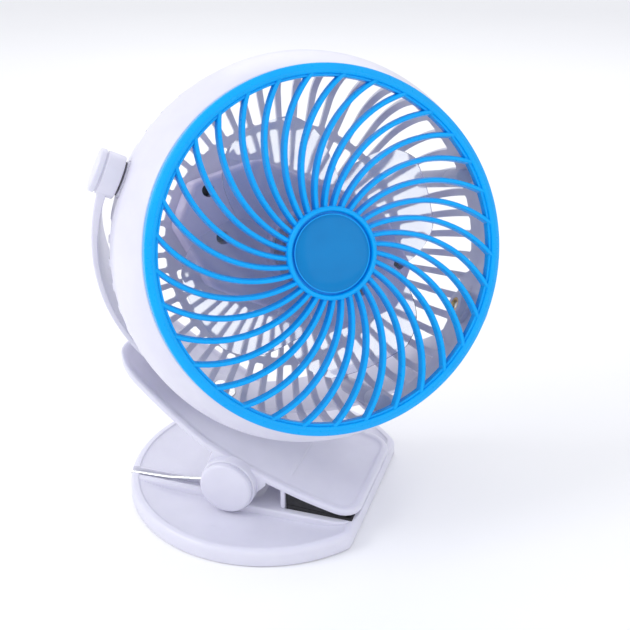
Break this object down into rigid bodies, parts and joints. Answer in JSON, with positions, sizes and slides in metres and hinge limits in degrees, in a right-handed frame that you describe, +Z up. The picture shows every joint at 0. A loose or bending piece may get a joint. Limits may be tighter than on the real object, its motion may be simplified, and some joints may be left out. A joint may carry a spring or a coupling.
{
  "type": "desk fan",
  "caption": "Clip-on desk fan: round ribbed fan head on a swivelling and tilting yoke, carried by a sprung clip whose lower jaw is a round standing base.",
  "frame": {"origin": "centre of the round base on its underside, where the fan stands on a table", "axes": "+X along the clip from the handle to the mouth, +Z up, +Y to the side away from the raised knob"},
  "size_m": [0.173, 0.1456, 0.2074],
  "materials": {
    "white_plastic": "satin moulded",
    "black_rubber": "matt",
    "washer_fibre": "matt",
    "bright_steel": "bright zinc",
    "blue_plastic": "glossy moulded",
    "blue_gloss": "polished",
    "grey_plastic": "satin moulded",
    "motor_steel": "drawn and blackened",
    "ivory_plastic": "natural nylon",
    "brass_parts": "turned",
    "clear_plastic": "clear polycarbonate",
    "cell_wrap": "shrink sleeve",
    "nickel_contacts": "nickel plated",
    "board_green": "solder mask",
    "black_plastic": "matt"
  },
  "bodies": {
    "base": {"lower_jaw": "white_plastic", "lower_pad": "black_rubber", "pivot_pin": "bright_steel", "near_pivot_cap": "white_plastic", "far_pivot_cap": "white_plastic", "torsion_spring": "bright_steel"},
    "clip": {"upper_jaw": "white_plastic", "upper_pad": "black_rubber", "swivel_screw": "bright_steel", "swivel_nut": "bright_steel"},
    "yoke": {"yoke": "white_plastic", "left_yoke_cap": "white_plastic", "right_yoke_cap": "white_plastic", "tilt_washers": "washer_fibre", "swivel_washer": "washer_fibre"},
    "head": {"front_shell": "white_plastic", "rear_shell": "white_plastic", "shell_screws": "bright_steel", "front_grille": "blue_plastic", "hub_cap": "blue_gloss", "tilt_screws": "bright_steel", "tilt_inserts": "brass_parts", "motor_pod": "grey_plastic", "pod_screws": "bright_steel", "motor_can": "motor_steel", "motor_end_cap": "ivory_plastic", "front_bush": "brass_parts", "rear_bush": "brass_parts", "battery_cell": "cell_wrap", "battery_plate": "nickel_contacts", "battery_spring": "nickel_contacts", "battery_door": "white_plastic", "door_screw": "bright_steel", "circuit_board": "board_green", "usb_socket": "nickel_contacts", "button_switch": "black_plastic", "light_pipe": "clear_plastic"},
    "rotor": {"motor_shaft": "bright_steel", "impeller": "clear_plastic", "impeller_insert": "brass_parts"},
    "button": {"power_button": "blue_gloss"}
  },
  "joints": [
    {"name": "clip_open", "type": "hinge", "parent": "base", "child": "clip", "pos_m": [-0.0066, 0, 0.0185], "axis": [0, -1, 0], "range_deg": [0, 26], "stiffness_Nm_per_rad": 1.6, "springref_deg": -34.38, "deforming": ["torsion_spring"]},
    {"name": "yoke_swivel", "type": "hinge", "parent": "clip", "child": "yoke", "pos_m": [-0.024, 0, 0.0427], "axis": [0.4741, 0, 0.8805], "continuous": true},
    {"name": "head_tilt", "type": "hinge", "parent": "yoke", "child": "head", "pos_m": [0.01999, 0, 0.12441], "axis": [0.7993, 0.4195, -0.4304], "continuous": true},
    {"name": "impeller_spin", "type": "hinge", "parent": "head", "child": "rotor", "pos_m": [0.01999, 0, 0.12441], "axis": [0.5669, -0.7639, 0.3083], "continuous": true},
    {"name": "button_press", "type": "slide", "parent": "head", "child": "button", "axis": [0.5669, -0.7639, 0.3083], "range_m": [0, 0.001], "stiffness_N_per_m": 900}
  ]
}
